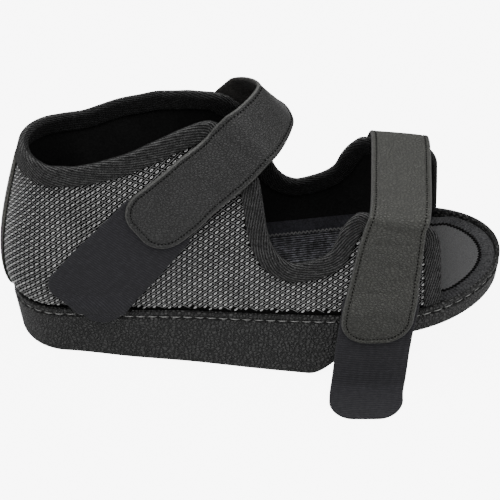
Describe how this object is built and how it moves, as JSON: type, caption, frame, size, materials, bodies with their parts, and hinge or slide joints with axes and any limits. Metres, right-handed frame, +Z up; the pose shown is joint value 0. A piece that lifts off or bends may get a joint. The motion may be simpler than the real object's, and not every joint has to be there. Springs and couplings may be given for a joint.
{
  "type": "post operative shoe",
  "caption": "Open-toed post operative shoe with a rigid wedge sole that keeps the forefoot off the ground, a padded mesh upper and hook-and-loop leather straps.",
  "frame": {"origin": "on the floor under the middle of the wedge's flat base, on the shoe's long middle line", "axes": "+X from heel to toe, +Z up, -Y the side on which both straps close"},
  "size_m": [0.3001, 0.1414, 0.1766],
  "materials": {
    "sole_rubber": "moulded, leather grain, matt",
    "insole_cloth": "brushed cloth on foam",
    "mesh_cloth": "open knitted mesh over black foam and lining",
    "tape_cloth": "ribbed knitted tape",
    "leather": "fine grain, satin",
    "loop_cloth": "matt loop pile"
  },
  "bodies": {
    "root": {"sole": "sole_rubber", "insole": "insole_cloth", "upper": "mesh_cloth", "edge_tape": "tape_cloth", "heel_strip": "leather", "ankle_strap": "leather", "forefoot_strap": "leather", "ankle_tab": "loop_cloth", "forefoot_tab": "loop_cloth"}
  },
  "joints": []
}
